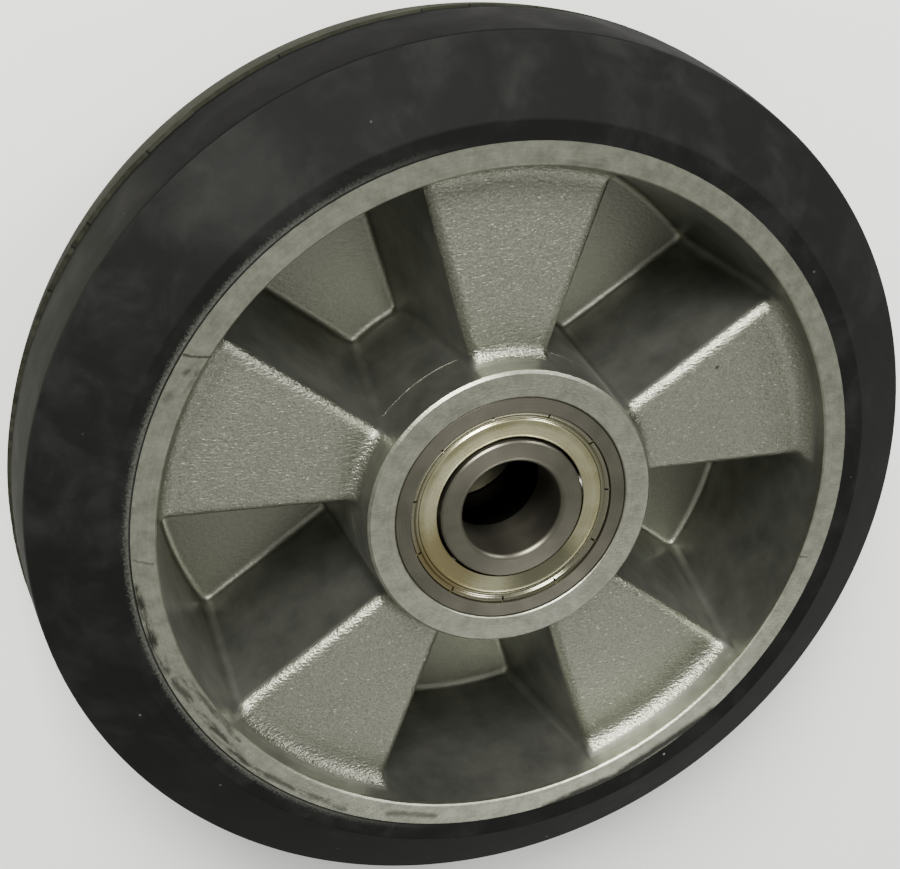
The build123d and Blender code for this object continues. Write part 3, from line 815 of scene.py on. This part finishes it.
# painted shade: the inner shields, seen only deep in the bore, are painted nearly black
painted_shade_zinc = steel("painted_shade_shield_steel", dark="22211D", light="2C2A25", roughness=0.5,
                     streak=0.5 * MM, stretch=0.0, rubbed="22211D", wear_and_seam_shade_from=bead_from, wall_shade=1.0)
tree = shield_zinc.node_tree
shader = tree.nodes["Principled BSDF"]
plated = shader.inputs["Base Color"].links[0].from_socket
place = add(tree, "TexCoord").outputs["Object"]
# golden_place is a golden patch of the plating; painted_reflection_place is a painted dark reflection
for centre, tint, amount in ((golden_place, "8B7C50", 0.7), (painted_reflection_place, "5F604F", 0.75)):
    away = add(tree, "VectorMath", {0: place, 1: centre}, operation="DISTANCE")
    patch = add(tree, "MapRange", {"Value": away.outputs["Value"], "From Min": patch_core,
                                   "From Max": patch_reach, "To Min": amount, "To Max": 0.0},
                interpolation_type="SMOOTHSTEP")
    plated = add(tree, "MixRGB", {"Fac": patch.outputs["Result"], "Color1": plated,
                                  "Color2": colour(tint)}).outputs["Color"]
tree.links.new(plated, shader.inputs["Base Color"])
by_slot = {"cast_aluminium": cast, "black_rubber": moulded_rubber, "ground_steel": ground_steel,
           "ball_steel": ball_steel, "pressed_steel": pressed_steel, "zinc_plated_shield": shield_zinc}
front_shield.data.materials.append(shield_zinc)
rear_shield.data.materials.append(shield_zinc)
for name, node in nodes.items():
    for slot in node.material_slots:
        wanted = [key for key in by_slot if key in slot.material.name]
        slot.material = painted_shade_zinc if name.endswith("shield_inner") else by_slot[wanted[0]]
print("finishes put on", len(nodes), "nodes")

# %% [markdown]
# ## A witness line on the hub
# Where a core of the die met the hub, the metal crept into the gap and left a hair-thin ridge round its wall.
# It is a real raised line, so it is a ring of a small round section, sunk half into the wall.

# %% Run the witness line round the hub
witness_height = 15.0 * MM
witness_radius = 29.55 * MM
witness_size = 0.03 * MM

bpy.ops.object.select_all(action="DESELECT")
bpy.ops.mesh.primitive_torus_add(major_radius=witness_radius, minor_radius=witness_size, major_segments=240,
                                 minor_segments=8, location=(0, 0, witness_height))
witness = start_piece("hub_witness_line")
bpy.ops.mesh.select_all(action="SELECT")
bpy.ops.mesh.normals_make_consistent(inside=False)
bpy.ops.object.mode_set(mode="OBJECT")
witness.data.materials.append(cast)
bpy.ops.object.shade_smooth_by_angle(angle=math.radians(60))
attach(witness, "wheel")
print("witness line has", len(witness.data.polygons), "faces")

# %% [markdown]
# ## The studio
# A sheet of pale paper lies under the wheel. The light is soft: a dome of pale light all round, and one
# softbox high up behind the top of the picture, which draws the long highlights on the edges that face it. A
# small one to the side lights the edges that face away from the first, and a weak one opposite lifts the
# rubber.

# %% Floor, dome and softbox
bpy.ops.object.select_all(action="DESELECT")
bpy.ops.mesh.primitive_plane_add(size=6, location=(0, 0, -half_width))
floor = bpy.context.object
floor.name = "paper_floor"
paper, tree, shader = new_material("pale_matt_paper")
shader.inputs["Base Color"].default_value = colour("FAFAF8")
shader.inputs["Roughness"].default_value = 0.9
shader.inputs["Specular IOR Level"].default_value = 0.1
floor.data.materials.append(paper)

dome = bpy.data.worlds.new("studio_dome")
dome.use_nodes = True
dome.node_tree.nodes["Background"].inputs["Color"].default_value = (1.0, 1.0, 0.98, 1.0)
dome.node_tree.nodes["Background"].inputs["Strength"].default_value = 0.5
bpy.context.scene.world = dome


def softbox(name, azimuth, elevation, distance, size, power):
    """Hangs a square softbox at a bearing round the wheel, aimed at its middle."""
    lamp = bpy.data.lights.new(name, "AREA")
    lamp.size = size
    lamp.energy = power
    made = bpy.data.objects.new(name, lamp)
    bpy.context.scene.collection.objects.link(made)
    turn, lift = math.radians(azimuth), math.radians(elevation)
    made.location = distance * Vector((math.cos(turn) * math.cos(lift), math.sin(turn) * math.cos(lift),
                                       math.sin(lift)))
    made.rotation_mode = "QUATERNION"
    made.rotation_quaternion = (-made.location).to_track_quat("-Z", "Y")
    return made


key = softbox("key_softbox", azimuth=109, elevation=36, distance=1.3, size=0.55, power=45)
key.data.color = (1.0, 0.99, 0.955)
fill = softbox("fill_softbox", azimuth=-62, elevation=35, distance=1.3, size=0.45, power=2.6)
side = softbox("side_softbox", azimuth=45, elevation=28, distance=1.3, size=0.35, power=8.0)
print("softboxes hang at", [[round(value, 2) for value in lamp.location] for lamp in (key, fill, side)])
